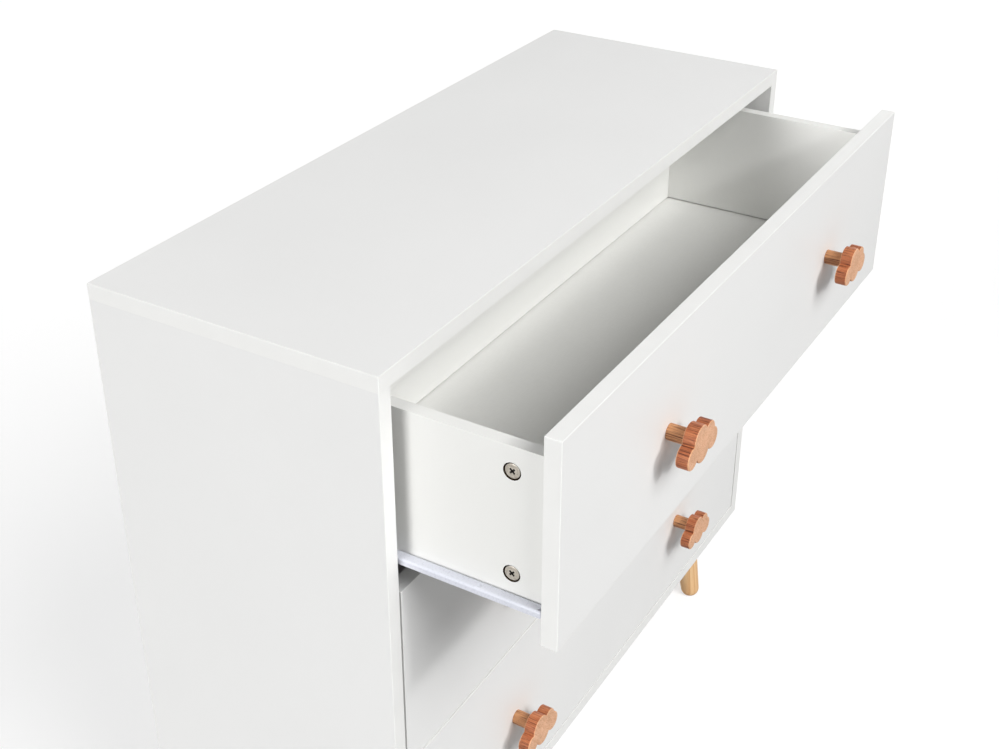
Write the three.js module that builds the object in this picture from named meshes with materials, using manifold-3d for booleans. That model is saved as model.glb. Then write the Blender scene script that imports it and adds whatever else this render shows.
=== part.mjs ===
// A free-standing chest of three full-width drawers on splayed turned legs.
// Millimetres, +Z up. The fronts face -Y. X is zero at mid-width and Z is zero on the floor.
// Depths are first given as d, measured back from the carcase's front edges.

import * as THREE from 'three';
import { mergeVertices } from 'three/addons/utils/BufferGeometryUtils.js';
import Module from 'manifold-3d';

const wasm = await Module();
wasm.setup();

// ---- driving dimensions -------------------------------------------------------------------

const WIDTH = 800;
const DEPTH = 295;
const CARCASE_HEIGHT = 625;
const LEG_HEIGHT = 145;
const BOARD = 15;
const GAP = 0.3;
const REVEAL = 2.5;

const DRAWER_COUNT = 3;
const DRAWER_NAMES = ['bottom', 'middle', 'top'];
const OPEN_AT_REST = [0, 0, 146];
const DRAWER_BOARD = 12;
const DRAWER_SIDE_HEIGHT = 150;
const SIDE_ABOVE_FRONT_EDGE = 20;
const DRAWER_LENGTH = 253;
const RUNNER_CLEARANCE = 12.5;
const DRAWER_BOTTOM_THICK = 3;
const DRAWER_BOTTOM_RISE = 19;
const GROOVE_DEPTH = 5;

const BACK_BOARD_THICK = 3;
const BACK_BOARD_INSET = 8;

const KNOB_SPACING = 385;
const KNOB_STEM_RADIUS = 7.5;
const KNOB_STEM_LENGTH = 20;
const KNOB_PLATE_THICK = 12;
const KNOB_EDGE_ROUND = 0.8;
const KNOB_STEM_IN_PLATE = 2;

const CAM_RADIUS = 7.5;
const CAM_DEPTH = 9;
const CAM_SETBACK = 32;
const CAM_SPACING = 96;
const CAM_TOP_OFFSET = 23;
const CAM_CROSS_REACH = 4;
const CAM_CROSS_HALF_WIDTH = 0.9;
const CAM_CROSS_DEPTH = 2.5;

const LEG_TOP_RADIUS = 19;
const LEG_FOOT_RADIUS = 12.5;
const LEG_SPLAY = THREE.MathUtils.degToRad(6.5);
const LEG_INSET_X = 40;
const LEG_INSET_D = 62;
const LEG_PLATE_SIZE = 60;
const LEG_PLATE_THICK = 2.5;
const LEG_PLATE_CORNER = 8;

const STEEL = 1.2;
const RUNNER_LENGTH = 250;
const ROLLER_RADIUS = 9;
const ROLLER_BORE_RADIUS = 2.35;
const ROLLER_PIN_RADIUS = 2;
const ROLLER_WIDTH = 6;
const ROLLER_RIM_EASE = 0.6;
const ROLLER_PLAY = 1.2;
const FRONT_ROLLER_D = 26;

// How far a cutter runs past the face it opens, and a board stops short of its groove's end.
const CUT_PAST = 1;
const GROOVE_SPARE = 1;

// Sides of the round pieces.
const ROD_SIDES = 18;
const ROLLER_SIDES = 20;
const LEG_SIDES = 24;
const STEM_SIDES = 28;
const CAM_SIDES = 28;
const KNOB_ARC_STEPS = 8;
const CORNER_STEPS = 5;

// ---- sizes that follow ----------------------------------------------------------------------

const CARCASE_BOTTOM = LEG_HEIGHT;
const TOTAL_HEIGHT = LEG_HEIGHT + CARCASE_HEIGHT;
const INNER_HALF_WIDTH = WIDTH / 2 - BOARD;
const INNER_BOTTOM = CARCASE_BOTTOM + BOARD;
const INNER_HEIGHT = CARCASE_HEIGHT - 2 * BOARD;
const FRONT_HEIGHT = (INNER_HEIGHT - (DRAWER_COUNT + 1) * REVEAL) / DRAWER_COUNT;
const FRONT_HALF_WIDTH = INNER_HALF_WIDTH - REVEAL;
const DRAWER_HALF_WIDTH = INNER_HALF_WIDTH - RUNNER_CLEARANCE;
const KNOB_REACH = KNOB_STEM_LENGTH + KNOB_PLATE_THICK;
const FRONT_MOST = Math.max(...OPEN_AT_REST) + KNOB_REACH;
const FRONT_Y = (FRONT_MOST - DEPTH) / 2;

// ---- materials ------------------------------------------------------------------------------

const finish = (color, roughness, metalness = 0) =>
  () => new THREE.MeshStandardMaterial({ color, roughness, metalness });

const whiteBoard = finish('#eceeec', 0.45);
const whiteHardboard = finish('#e4e4e1', 0.6);
const knobWood = finish('#c47a48', 0.5);
const legWood = finish('#dba870', 0.5);
const coatedSteel = finish('#dfe1e8', 0.35, 0.2);
const plateSteel = finish('#b8bbbd', 0.4, 0.9);
const camNickel = finish('#c9c2b4', 0.35, 0.9);
const nylon = finish('#f2f2ee', 0.5);

// ---- helpers --------------------------------------------------------------------------------

const chest = new THREE.Group();
chest.position.y = FRONT_Y;

function place(parent, name, geometry, material, x = 0, y = 0, z = 0) {
  const mesh = new THREE.Mesh(geometry, material());
  mesh.name = name;
  mesh.position.set(x, y, z);
  parent.add(mesh);
  return mesh;
}

// A box given by its lowest and highest corners.
function span([x0, y0, z0], [x1, y1, z1]) {
  const box = new THREE.BoxGeometry(x1 - x0, y1 - y0, z1 - z0);
  return box.translate((x0 + x1) / 2, (y0 + y1) / 2, (z0 + z1) / 2);
}

// A cylinder along X, from x0 to x1.
function rodAlongX(radius, x0, x1, d, z, sides = ROD_SIDES) {
  const rod = new THREE.CylinderGeometry(radius, radius, x1 - x0, sides);
  return rod.rotateZ(Math.PI / 2).translate((x0 + x1) / 2, d, z);
}

function solid(geometry) {
  const bare = geometry.clone();
  bare.deleteAttribute('normal');
  bare.deleteAttribute('uv');
  const merged = mergeVertices(bare, 1e-4);
  return new wasm.Manifold(new wasm.Mesh({
    numProp: 3,
    vertProperties: new Float32Array(merged.attributes.position.array),
    triVerts: new Uint32Array(merged.index.array),
  }));
}

function geometryOf(manifold) {
  const mesh = manifold.getMesh();
  const geometry = new THREE.BufferGeometry();
  geometry.setAttribute('position', new THREE.BufferAttribute(mesh.vertProperties, 3));
  geometry.setIndex(new THREE.BufferAttribute(mesh.triVerts, 1));
  return geometry;
}

const join = (first, ...rest) =>
  geometryOf(rest.reduce((whole, piece) => whole.add(solid(piece)), solid(first)));

const cut = (first, ...rest) =>
  geometryOf(rest.reduce((whole, piece) => whole.subtract(solid(piece)), solid(first)));

// Flips a geometry left for right, keeping its faces pointing out.
function mirrorX(geometry) {
  const flipped = geometry.clone().scale(-1, 1, 1);
  const index = flipped.index.array;
  for (let i = 0; i < index.length; i += 3) {
    const first = index[i];
    index[i] = index[i + 1];
    index[i + 1] = first;
  }
  return flipped;
}

const SIDES = [
  { name: 'left', sign: -1 },
  { name: 'right', sign: 1 },
];

const onSide = (geometry, sign) => (sign > 0 ? geometry : mirrorX(geometry));

// ---- carcase --------------------------------------------------------------------------------

const BACK_BOARD_D = DEPTH - BACK_BOARD_INSET - BACK_BOARD_THICK;
const BACK_GROOVE_DEPTH = 6;

function rightSidePanel() {
  const outer = WIDTH / 2;
  const panel = span(
    [INNER_HALF_WIDTH, 0, CARCASE_BOTTOM],
    [outer, DEPTH, TOTAL_HEIGHT - BOARD - GAP],
  );
  const groove = span(
    [INNER_HALF_WIDTH - CUT_PAST, BACK_BOARD_D - GAP, CARCASE_BOTTOM - CUT_PAST],
    [INNER_HALF_WIDTH + BACK_GROOVE_DEPTH, BACK_BOARD_D + BACK_BOARD_THICK + GAP, TOTAL_HEIGHT],
  );
  return cut(panel, groove);
}

function addCarcase() {
  const outer = WIDTH / 2;
  const inner = INNER_HALF_WIDTH - GAP;
  const top = span([-outer, 0, TOTAL_HEIGHT - BOARD], [outer, DEPTH, TOTAL_HEIGHT]);
  place(chest, 'top_panel', top, whiteBoard);

  for (const { name, sign } of SIDES) {
    place(chest, `side_panel_${name}`, onSide(rightSidePanel(), sign), whiteBoard);
  }

  const bottom = span(
    [-inner, 0, CARCASE_BOTTOM],
    [inner, BACK_BOARD_D - GAP, INNER_BOTTOM],
  );
  place(chest, 'bottom_panel', bottom, whiteBoard);

  const backHalf = INNER_HALF_WIDTH + BACK_GROOVE_DEPTH - GROOVE_SPARE;
  const back = span(
    [-backHalf, BACK_BOARD_D, CARCASE_BOTTOM],
    [backHalf, BACK_BOARD_D + BACK_BOARD_THICK, TOTAL_HEIGHT - BOARD - GAP],
  );
  place(chest, 'back_board', back, whiteHardboard);
}

// ---- legs -----------------------------------------------------------------------------------

const LEG_FOOT_ROUND = 10;
const LEG_FLAT_RADIUS = 7;
const LEG_FOOT_SPARE = 2;
const LEG_TOP_SPARE = 12;

// The turned profile runs from the rounded foot up to the wide top. It is left a little
// long at both ends, because the tilted leg is trimmed level at the floor and at its plate.
function legBlank() {
  const length = LEG_HEIGHT + LEG_FOOT_SPARE + LEG_TOP_SPARE;
  const round = LEG_FOOT_RADIUS - LEG_FLAT_RADIUS;
  const profile = [new THREE.Vector2(0, 0)];
  for (let i = 0; i <= CORNER_STEPS; i += 1) {
    const angle = (Math.PI / 2) * (i / CORNER_STEPS);
    profile.push(new THREE.Vector2(
      LEG_FLAT_RADIUS + round * Math.sin(angle),
      LEG_FOOT_ROUND * (1 - Math.cos(angle)),
    ));
  }
  profile.push(new THREE.Vector2(LEG_TOP_RADIUS, length));
  profile.push(new THREE.Vector2(0, length));
  const blank = new THREE.LatheGeometry(profile, LEG_SIDES);
  return blank.rotateX(Math.PI / 2).translate(0, 0, -LEG_HEIGHT - LEG_FOOT_SPARE);
}

// Splayed outward and forward or backward about the middle of its top.
function leg(signX, signD) {
  const tilt = new THREE.Euler(signD * LEG_SPLAY, -signX * LEG_SPLAY, 0);
  const blank = legBlank();
  blank.applyMatrix4(new THREE.Matrix4().makeRotationFromEuler(tilt));
  const half = LEG_HEIGHT;
  const plateBottom = -LEG_PLATE_THICK - 2 * GAP;
  const keep = span([-half, -half, -LEG_HEIGHT], [half, half, plateBottom]);
  return geometryOf(solid(blank).intersect(solid(keep)));
}

function legPlate() {
  const middle = LEG_PLATE_SIZE / 2 - LEG_PLATE_CORNER;
  const quarter = Math.PI / 2;
  const outline = new THREE.Shape();
  [[1, 1], [-1, 1], [-1, -1], [1, -1]].forEach(([x, y], i) => {
    const start = i * quarter;
    outline.absarc(x * middle, y * middle, LEG_PLATE_CORNER, start, start + quarter);
  });
  return new THREE.ExtrudeGeometry(outline, {
    depth: LEG_PLATE_THICK,
    bevelEnabled: false,
    curveSegments: CORNER_STEPS,
  });
}

function addLegs() {
  const corners = [
    { end: 'front', d: LEG_INSET_D, signD: -1 },
    { end: 'back', d: DEPTH - LEG_INSET_D, signD: 1 },
  ];
  for (const { end, d, signD } of corners) {
    for (const { name, sign } of SIDES) {
      const x = sign * (WIDTH / 2 - LEG_INSET_X);
      place(chest, `leg_${end}_${name}`, leg(sign, signD), legWood, x, d, CARCASE_BOTTOM);
      const plateZ = CARCASE_BOTTOM - LEG_PLATE_THICK - GAP;
      place(chest, `leg_plate_${end}_${name}`, legPlate(), plateSteel, x, d, plateZ);
    }
  }
}

// ---- runners --------------------------------------------------------------------------------
// Each runner is drawn for the right-hand side in its own frame: u is measured inward from the
// side panel, so x = INNER_HALF_WIDTH - u, and h is measured down from the drawer flange's top.

const FLANGE_BELOW_FRONT_TOP = 162;
const FLANGE_TO_SIDE_BOTTOM = FRONT_HEIGHT - SIDE_ABOVE_FRONT_EDGE - FLANGE_BELOW_FRONT_TOP;
const LIP_U = 2;
const LIP_DROP = 6;
const CHANNEL_BELOW_LIP = 2;
const CHANNEL_BEHIND_ROLLER = 3;
const REAR_ROLLER_INSET = 1;
const LEDGE_SHORT_OF_SIDE = 1;
const CHANNEL_TOP_H = LIP_DROP + CHANNEL_BELOW_LIP;
const CHANNEL_INSIDE = 2 * ROLLER_RADIUS + ROLLER_PLAY;
const CHANNEL_BOTTOM_H = CHANNEL_TOP_H + CHANNEL_INSIDE + 2 * STEEL;
const CHANNEL_REACH = 10.4;
const FRONT_ROLLER_H = STEEL + GAP + ROLLER_RADIUS;
const REAR_ROLLER_H = (CHANNEL_TOP_H + CHANNEL_BOTTOM_H) / 2;
const CHANNEL_START_D = FRONT_ROLLER_D + ROLLER_RADIUS + CHANNEL_BEHIND_ROLLER;
const CABINET_RUNNER_START_D = 16;
const CABINET_RUNNER_END_D = 268;
const DRAWER_RUNNER_START_D = BOARD + 2 * GAP;
const DRAWER_RUNNER_END_D = DRAWER_RUNNER_START_D + RUNNER_LENGTH;
const REAR_ROLLER_D = DRAWER_RUNNER_END_D - ROLLER_RADIUS - REAR_ROLLER_INSET;
const ROLLER_OUTER_U = 3.7;
const PIN_SHOULDER_RADIUS = 3.4;

const flangeTop = (frontTop) => frontTop - FLANGE_BELOW_FRONT_TOP;

// A box in runner terms: u, d and h ranges, with z measured down from zTop.
function runnerBox([u0, u1], [d0, d1], [h0, h1], zTop) {
  return span(
    [INNER_HALF_WIDTH - u1, d0, zTop - h1],
    [INNER_HALF_WIDTH - u0, d1, zTop - h0],
  );
}

const runnerRod = (radius, [u0, u1], d, h, zTop) =>
  rodAlongX(radius, INNER_HALF_WIDTH - u1, INNER_HALF_WIDTH - u0, d, zTop - h);

// Screwed to the side panel: a C channel, and ahead of it the pin of the front roller.
function cabinetRunner(zTop) {
  const web = [GAP, GAP + STEEL];
  const reach = [GAP, CHANNEL_REACH];
  const channel = [CHANNEL_START_D, CABINET_RUNNER_END_D];
  const length = [CABINET_RUNNER_START_D, CABINET_RUNNER_END_D];
  const rollerEnd = ROLLER_OUTER_U + ROLLER_WIDTH;
  const shoulder = [GAP, ROLLER_OUTER_U - GAP];
  return join(
    runnerBox(web, length, [CHANNEL_TOP_H, CHANNEL_BOTTOM_H], zTop),
    runnerBox(reach, channel, [CHANNEL_TOP_H, CHANNEL_TOP_H + STEEL], zTop),
    runnerBox(reach, channel, [CHANNEL_BOTTOM_H - STEEL, CHANNEL_BOTTOM_H], zTop),
    runnerRod(PIN_SHOULDER_RADIUS, shoulder, FRONT_ROLLER_D, FRONT_ROLLER_H, zTop),
    runnerRod(ROLLER_PIN_RADIUS, [GAP, rollerEnd], FRONT_ROLLER_D, FRONT_ROLLER_H, zTop),
  );
}

// Screwed to the drawer side: a web with a ledge under the side, an outward flange with a
// turned-down lip that rides on the cabinet's roller, and a tab with the rear roller's pin.
function drawerRunner(zTop) {
  const length = [DRAWER_RUNNER_START_D, DRAWER_RUNNER_END_D];
  const ledge = [FLANGE_TO_SIDE_BOTTOM + GAP, FLANGE_TO_SIDE_BOTTOM + GAP + STEEL];
  const webInner = RUNNER_CLEARANCE - GAP;
  const web = [webInner - STEEL, webInner];
  const ledgeReach = RUNNER_CLEARANCE + DRAWER_BOARD - LEDGE_SHORT_OF_SIDE;
  const tab = [REAR_ROLLER_D - ROLLER_RADIUS, DRAWER_RUNNER_END_D];
  const tabBottom = REAR_ROLLER_H + PIN_SHOULDER_RADIUS;
  const pinEnd = ROLLER_OUTER_U - GAP;
  return join(
    runnerBox(web, length, [0, ledge[1]], zTop),
    runnerBox([LIP_U, webInner], length, [0, STEEL], zTop),
    runnerBox([LIP_U, LIP_U + STEEL], length, [0, LIP_DROP], zTop),
    runnerBox([webInner - STEEL, ledgeReach], length, ledge, zTop),
    runnerBox(web, tab, [0, tabBottom], zTop),
    runnerRod(ROLLER_PIN_RADIUS, [pinEnd, webInner], REAR_ROLLER_D, REAR_ROLLER_H, zTop),
  );
}

// A plain nylon wheel whose rims are slightly eased, on the X axis at its own middle.
function roller() {
  const half = ROLLER_WIDTH / 2;
  const ease = ROLLER_RIM_EASE;
  const profile = [
    new THREE.Vector2(ROLLER_BORE_RADIUS, -half),
    new THREE.Vector2(ROLLER_RADIUS - ease, -half),
    new THREE.Vector2(ROLLER_RADIUS, ease - half),
    new THREE.Vector2(ROLLER_RADIUS, half - ease),
    new THREE.Vector2(ROLLER_RADIUS - ease, half),
    new THREE.Vector2(ROLLER_BORE_RADIUS, half),
    new THREE.Vector2(ROLLER_BORE_RADIUS, -half),
  ];
  return new THREE.LatheGeometry(profile, ROLLER_SIDES).rotateZ(Math.PI / 2);
}

function addRoller(parent, name, sign, d, h, zTop) {
  const u = ROLLER_OUTER_U + ROLLER_WIDTH / 2;
  place(parent, name, roller(), nylon, sign * (INNER_HALF_WIDTH - u), d, zTop - h);
}

// ---- knobs ----------------------------------------------------------------------------------

// The cloud's outline is the outer edge of five overlapping circles, listed clockwise
// as seen from the front: left, big top, top right, right and bottom.
const CLOUD_LOBES = [
  { x: -19.5, z: -6, r: 10.5 },
  { x: -5, z: 4.5, r: 13.5 },
  { x: 13, z: 3, r: 10 },
  { x: 20, z: -7, r: 10 },
  { x: 0.5, z: -7.5, r: 12.5 },
];

// The crossing of two circles that lies further from the cloud's middle.
function outerCrossing(a, b) {
  const dx = b.x - a.x;
  const dz = b.z - a.z;
  const apart = Math.hypot(dx, dz);
  const along = (a.r ** 2 - b.r ** 2 + apart ** 2) / (2 * apart);
  const across = Math.sqrt(a.r ** 2 - along ** 2);
  const crossing = (side) => new THREE.Vector2(
    a.x + (along * dx - side * across * dz) / apart,
    a.z + (along * dz + side * across * dx) / apart,
  );
  const [one, other] = [crossing(1), crossing(-1)];
  return one.length() > other.length() ? one : other;
}

function cloudOutline() {
  const outline = new THREE.Shape();
  CLOUD_LOBES.forEach((lobe, i) => {
    const before = CLOUD_LOBES.at(i - 1);
    const after = CLOUD_LOBES[(i + 1) % CLOUD_LOBES.length];
    const start = outerCrossing(before, lobe);
    const end = outerCrossing(lobe, after);
    const from = Math.atan2(start.y - lobe.z, start.x - lobe.x);
    const to = Math.atan2(end.y - lobe.z, end.x - lobe.x);
    outline.absarc(lobe.x, lobe.z, lobe.r, from, to, true);
  });
  return outline;
}

// The plate faces -Y. The stem's back end is at the origin, a gap ahead of the drawer front.
function knob() {
  const plate = new THREE.ExtrudeGeometry(cloudOutline(), {
    depth: KNOB_PLATE_THICK - 2 * KNOB_EDGE_ROUND,
    curveSegments: KNOB_ARC_STEPS,
    bevelThickness: KNOB_EDGE_ROUND,
    bevelSize: KNOB_EDGE_ROUND,
    bevelOffset: -KNOB_EDGE_ROUND,
    bevelSegments: 1,
  });
  plate.rotateX(Math.PI / 2);
  plate.translate(0, -KNOB_STEM_LENGTH - KNOB_EDGE_ROUND, 0);
  const length = KNOB_STEM_LENGTH + KNOB_STEM_IN_PLATE - GAP;
  const stem = new THREE.CylinderGeometry(
    KNOB_STEM_RADIUS,
    KNOB_STEM_RADIUS,
    length,
    STEM_SIDES,
  );
  stem.translate(0, -length / 2 - GAP, 0);
  return join(plate, stem);
}

// ---- drawers --------------------------------------------------------------------------------

const BOTTOM_GROOVE = DRAWER_BOTTOM_THICK + 2 * GAP;
const SIDE_START_D = BOARD + GAP;

const grooveBox = ([x0, x1], [d0, d1], sideBottom) => span(
  [x0, d0, sideBottom + DRAWER_BOTTOM_RISE - GAP],
  [x1, d1, sideBottom + DRAWER_BOTTOM_RISE - GAP + BOTTOM_GROOVE],
);

function camHeights(sideBottom) {
  const upper = sideBottom + DRAWER_SIDE_HEIGHT - CAM_TOP_OFFSET;
  return { upper, lower: upper - CAM_SPACING };
}

function rightDrawerSide(sideBottom) {
  const outer = DRAWER_HALF_WIDTH;
  const inner = outer - DRAWER_BOARD;
  const board = span(
    [inner, SIDE_START_D, sideBottom],
    [outer, BOARD + DRAWER_LENGTH, sideBottom + DRAWER_SIDE_HEIGHT],
  );
  const grooveX = [inner - CUT_PAST, inner + GROOVE_DEPTH];
  const groove = grooveBox(grooveX, [0, DEPTH], sideBottom);
  const boreRadius = CAM_RADIUS + GAP;
  const boreEnd = outer - CAM_DEPTH - GAP;
  const camBores = Object.values(camHeights(sideBottom)).map((z) =>
    rodAlongX(boreRadius, boreEnd, outer + CUT_PAST, BOARD + CAM_SETBACK, z));
  return cut(board, groove, ...camBores);
}

function drawerBack(sideBottom) {
  const half = DRAWER_HALF_WIDTH - DRAWER_BOARD - GAP;
  const end = BOARD + DRAWER_LENGTH;
  const board = span(
    [-half, end - DRAWER_BOARD, sideBottom],
    [half, end, sideBottom + DRAWER_SIDE_HEIGHT],
  );
  const grooveX = [-half - CUT_PAST, half + CUT_PAST];
  const grooveEnd = end - DRAWER_BOARD + GROOVE_DEPTH;
  return cut(board, grooveBox(grooveX, [0, grooveEnd], sideBottom));
}

function drawerFront(frontBottom, sideBottom) {
  const board = span(
    [-FRONT_HALF_WIDTH, 0, frontBottom],
    [FRONT_HALF_WIDTH, BOARD, frontBottom + FRONT_HEIGHT],
  );
  const half = DRAWER_HALF_WIDTH - DRAWER_BOARD + GROOVE_DEPTH;
  const grooveD = [BOARD - GROOVE_DEPTH, BOARD + CUT_PAST];
  return cut(board, grooveBox([-half, half], grooveD, sideBottom));
}

function drawerBottom(sideBottom) {
  const inGroove = GROOVE_DEPTH - GROOVE_SPARE;
  const half = DRAWER_HALF_WIDTH - DRAWER_BOARD + inGroove;
  const end = BOARD + DRAWER_LENGTH - DRAWER_BOARD + inGroove;
  const z = sideBottom + DRAWER_BOTTOM_RISE;
  return span([-half, BOARD - inGroove, z], [half, end, z + DRAWER_BOTTOM_THICK]);
}

// A cast disc with a Phillips cross, let into the outer face of a drawer side.
function camFastener(sideX, d, z) {
  const disc = rodAlongX(CAM_RADIUS, sideX - CAM_DEPTH, sideX, d, z, CAM_SIDES);
  const arm = (halfD, halfZ) => span(
    [sideX - CAM_CROSS_DEPTH, d - halfD, z - halfZ],
    [sideX + CUT_PAST, d + halfD, z + halfZ],
  );
  const upright = arm(CAM_CROSS_HALF_WIDTH, CAM_CROSS_REACH);
  const level = arm(CAM_CROSS_REACH, CAM_CROSS_HALF_WIDTH);
  return cut(disc, upright, level);
}

function addDrawer(index) {
  const name = DRAWER_NAMES[index];
  const frontBottom = INNER_BOTTOM + REVEAL + index * (FRONT_HEIGHT + REVEAL);
  const sideBottom = frontBottom + SIDE_ABOVE_FRONT_EDGE;
  const zTop = flangeTop(frontBottom + FRONT_HEIGHT);
  const drawer = new THREE.Group();
  drawer.position.y = -OPEN_AT_REST[index];
  chest.add(drawer);

  place(drawer, `drawer_${name}_front`, drawerFront(frontBottom, sideBottom), whiteBoard);
  place(drawer, `drawer_${name}_back`, drawerBack(sideBottom), whiteBoard);
  place(drawer, `drawer_${name}_bottom`, drawerBottom(sideBottom), whiteHardboard);

  for (const { name: side, sign } of SIDES) {
    const label = `${name}_${side}`;
    const board = onSide(rightDrawerSide(sideBottom), sign);
    place(drawer, `drawer_${name}_side_${side}`, board, whiteBoard);
    place(drawer, `drawer_runner_${label}`, onSide(drawerRunner(zTop), sign), coatedSteel);
    addRoller(drawer, `rear_roller_${label}`, sign, REAR_ROLLER_D, REAR_ROLLER_H, zTop);
    place(chest, `cabinet_runner_${label}`, onSide(cabinetRunner(zTop), sign), coatedSteel);
    addRoller(chest, `front_roller_${label}`, sign, FRONT_ROLLER_D, FRONT_ROLLER_H, zTop);
    const knobX = (sign * KNOB_SPACING) / 2;
    place(drawer, `knob_${label}`, knob(), knobWood, knobX, 0, frontBottom + FRONT_HEIGHT / 2);
  }

  if (OPEN_AT_REST[index] > 0) {
    for (const [level, z] of Object.entries(camHeights(sideBottom))) {
      const cam = camFastener(DRAWER_HALF_WIDTH, BOARD + CAM_SETBACK, z);
      place(drawer, `cam_fastener_${name}_left_${level}`, onSide(cam, -1), camNickel);
    }
  }
}

// ---- assembly -------------------------------------------------------------------------------

addCarcase();
addLegs();
for (let index = 0; index < DRAWER_COUNT; index += 1) {
  addDrawer(index);
}

export default chest;
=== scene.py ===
import math

import bmesh
import bpy
from mathutils import Matrix, Vector


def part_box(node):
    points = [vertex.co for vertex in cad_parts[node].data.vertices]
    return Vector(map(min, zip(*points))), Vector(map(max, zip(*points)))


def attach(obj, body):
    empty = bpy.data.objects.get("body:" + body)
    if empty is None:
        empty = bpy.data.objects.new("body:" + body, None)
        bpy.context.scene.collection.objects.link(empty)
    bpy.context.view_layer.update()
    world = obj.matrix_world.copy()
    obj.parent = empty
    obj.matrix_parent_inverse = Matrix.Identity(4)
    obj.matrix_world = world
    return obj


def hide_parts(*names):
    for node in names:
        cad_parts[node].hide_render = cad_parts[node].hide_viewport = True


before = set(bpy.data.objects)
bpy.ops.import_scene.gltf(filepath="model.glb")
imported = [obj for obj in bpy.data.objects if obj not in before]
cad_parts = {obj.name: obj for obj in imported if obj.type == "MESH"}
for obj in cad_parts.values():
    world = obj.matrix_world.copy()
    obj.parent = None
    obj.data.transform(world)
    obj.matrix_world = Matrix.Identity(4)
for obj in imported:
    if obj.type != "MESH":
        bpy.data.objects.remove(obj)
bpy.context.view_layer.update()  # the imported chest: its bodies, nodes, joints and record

# ---- names ----

DRAWERS = ("bottom", "middle", "top")
SIDES = {"left": -1, "right": 1}
ENDS = {"front": -1, "back": 1}
X, Y, Z = 0, 1, 2

# ---- sides of the turned parts ----

CAM_SIDES = 64
STEM_SIDES = 48
LEG_SIDES = 72
SCREW_SIDES = 32
PIN_SIDES = 32
BACK_PIN_SIDES = 24
ROLLER_SIDES = 56

# ---- sizes, in metres ----

WELD = 1e-6
ON_PLANE = WELD * 50  # how near a point has to be to count as on a side
FLAT_ANGLE = math.radians(1)
SHARP_ANGLE = math.radians(30)
SMOOTH_ANGLE = math.radians(40)

CARCASE_EASE = 0.00035
FRONT_EASE = 0.00045
DRAWER_EASE = 0.0004
SHEET_EASE = 0.0003
LEG_EASE = 0.0004
PLATE_EASE = 0.0005
STEEL_EASE = 0.0002
STEM_EASE = 0.0007
BAND_THICK = 0.001
BAND_JOINT = 0.00012
JOINT_GAP = 0.00026

DRAWER_FLOOR_THICK = 0.0025
DRAWER_FLOOR_REST = 0.0002

LOBES = (  # the cloud knob's circles, clockwise from the left: x, z, radius
    (-0.0195, -0.006, 0.0105),
    (-0.005, 0.0045, 0.0135),
    (0.013, 0.003, 0.010),
    (0.020, -0.007, 0.010),
    (0.0005, -0.0075, 0.0125),
)
LOBE_STEPS = 16
KNOB_THICK = 0.012
KNOB_STEM = 0.020
KNOB_STEM_RADIUS = 0.0075
KNOB_STEM_BURIED = 0.0008
KNOB_SPACING = 0.385
KNOB_EASE = 0.0009
GRAIN_LEAN = math.radians(35)

LEG_HEIGHT = 0.145
LEG_TOP_RADIUS = 0.019
LEG_FOOT_RADIUS = 0.0125
LEG_FLAT_RADIUS = 0.007
LEG_FOOT_ROUND = 0.010
LEG_SPLAY = math.radians(6.5)
LEG_FOOT_SPARE = 0.002
LEG_TOP_SPARE = 0.012
LEG_TOP_GAP = 0.0002
LEG_ROUND_STEPS = 12

CAM_RADIUS = 0.0066
CAM_BORE_RADIUS = 0.0078
CAM_BORE_FACE = 0.0002  # m2, more than any face inside the bore
CAM_DEPTH = 0.0085
CAM_RECESS = 0.0005
CAM_TURN = math.radians(45)
CAM_SPACING = 0.096
CAM_TOP_OFFSET = 0.023
CAM_SETBACK = 0.032
CAM_CROWN = 0.00006
CAM_CROSS = {"reach": 0.0039, "half_width": 0.00115, "depth": 0.0026}

KNOB_SCREW = {"radius": 0.0042, "height": 0.0022}
PLATE_SCREW = {"radius": 0.0034, "height": 0.0018}
PLATE_SCREW_INSET = 0.0085
RUNNER_SCREW = {"radius": 0.0034, "height": 0.0016}
BACK_PINS = 8
BACK_PIN_UP = 0.0075
BACK_PIN_PROFILE = (
    (0, 0), (0.0021, 0), (0.0023, 0.00015), (0.0021, 0.0004), (0.0012, 0.0005), (0, 0.0005)
)

STEEL = 0.0012
BEND_RADIUS = 0.0014
RUNNER_CLEARANCE = 0.0125
RUNNER_GAP = 0.0003
FLANGE_EDGE = 0.002
LIP_DROP = 0.006
CHANNEL_REACH = 0.0104
DENT_RADIUS = 0.0029
DENT_DEPTH = 0.0009
DENT_IN = 0.0062
DENT_BACK = 0.057
ROLLER_RADIUS = 0.009
ROLLER_WIDTH = 0.006
ROLLER_BORE = 0.0023
PIN_RADIUS = 0.002
PIN_SHOULDER = 0.0034
RIVET_RADIUS = 0.003
FRONT_PIN = (  # radius, from and to, measured inward from the side panel
    (PIN_SHOULDER, RUNNER_GAP, 0.0034),
    (PIN_RADIUS, 0.0034, 0.0099),
    (RIVET_RADIUS, 0.0099, 0.0105),
)
REAR_PIN = (  # the same, measured outward from the inner face of the drawer member's web
    (PIN_SHOULDER * 0.8, -0.0014, -0.0012),
    (PIN_RADIUS, -0.0012, 0.0086),
    (RIVET_RADIUS, 0.0086, 0.0090),
)
TAB_ROUND = ROLLER_RADIUS * 0.62
TAB_HALF_WIDTH = 0.0082
TAB_GAP = 0.0006
NOTCH_AT_WEB = 0.0012
NOTCH_AT_LIP = 0.0034
NOTCH_PAST_LIP = 0.0008
NOTCH_SPARE = 0.001
LEDGE_SHORT = 0.001
CHANNEL_DROP = 0.002
CHANNEL_CUT_SPARE = 0.002
ROLLER_ROOM = 0.003
CHANNEL_SCREWS = (0.2, 0.55, 0.9)  # shares of the member's length
LEDGE_SCREWS = (0.12, 0.5, 0.84)
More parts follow.
